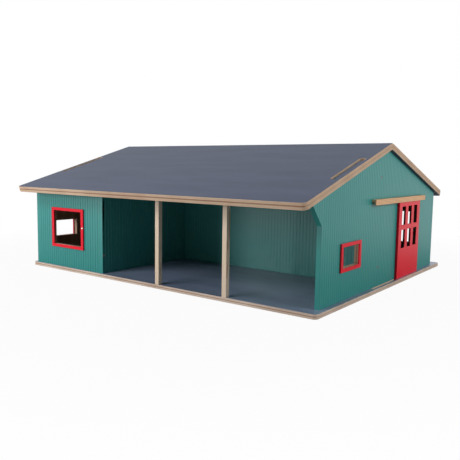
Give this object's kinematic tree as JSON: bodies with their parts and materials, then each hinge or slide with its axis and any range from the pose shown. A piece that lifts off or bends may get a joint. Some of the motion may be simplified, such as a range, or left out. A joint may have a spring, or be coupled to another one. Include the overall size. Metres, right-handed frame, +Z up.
{
  "type": "toy barn",
  "caption": "Wooden toy barn with open bays between posts, a corner room, a rear hall, a sliding door on one gable and a pitched roof in two lift-off panels.",
  "frame": {"origin": "on the floor, under the middle of the ridge", "axes": "+Z up, +X along the ridge towards the gable with the sliding door, -Y towards the open bays"},
  "size_m": [0.73, 0.666, 0.2809],
  "materials": {
    "base_board": "satin film-faced plywood with bare edges",
    "roof_board": "satin film-faced plywood with bare edges",
    "green_board": "matt green paint on ribbed board",
    "red_board": "semi-gloss red paint",
    "pine": "bare planed wood",
    "steel": "zinc-plated screws"
  },
  "bodies": {
    "barn": {"base_plate": "base_board", "left_gable": "green_board", "right_gable": "green_board", "rear_wall": "green_board", "middle_wall": "green_board", "room_partition": "green_board", "front_panel": "green_board", "left_post": "pine", "right_post": "pine", "door_rail": "pine", "front_window_frame": "red_board", "right_window_frame": "red_board", "left_window_frame": "red_board", "rear_window_frame": "red_board", "frame_pin": "steel", "wall_screws": "steel", "base_screws": "steel", "rail_screws": "steel"},
    "door": {"sliding_door": "red_board"},
    "front_roof_panel": {"front_roof": "roof_board"},
    "rear_roof_panel": {"rear_roof": "roof_board"}
  },
  "joints": [
    {"name": "door_slide", "type": "slide", "parent": "barn", "child": "door", "axis": [0, -1, 0], "range_m": [0, 0.117]},
    {"name": "front_roof_lift", "type": "slide", "parent": "barn", "child": "front_roof_panel", "axis": [0, 0, 1], "range_m": [0, 0.12]},
    {"name": "rear_roof_lift", "type": "slide", "parent": "barn", "child": "rear_roof_panel", "axis": [0, 0, 1], "range_m": [0, 0.12]}
  ]
}
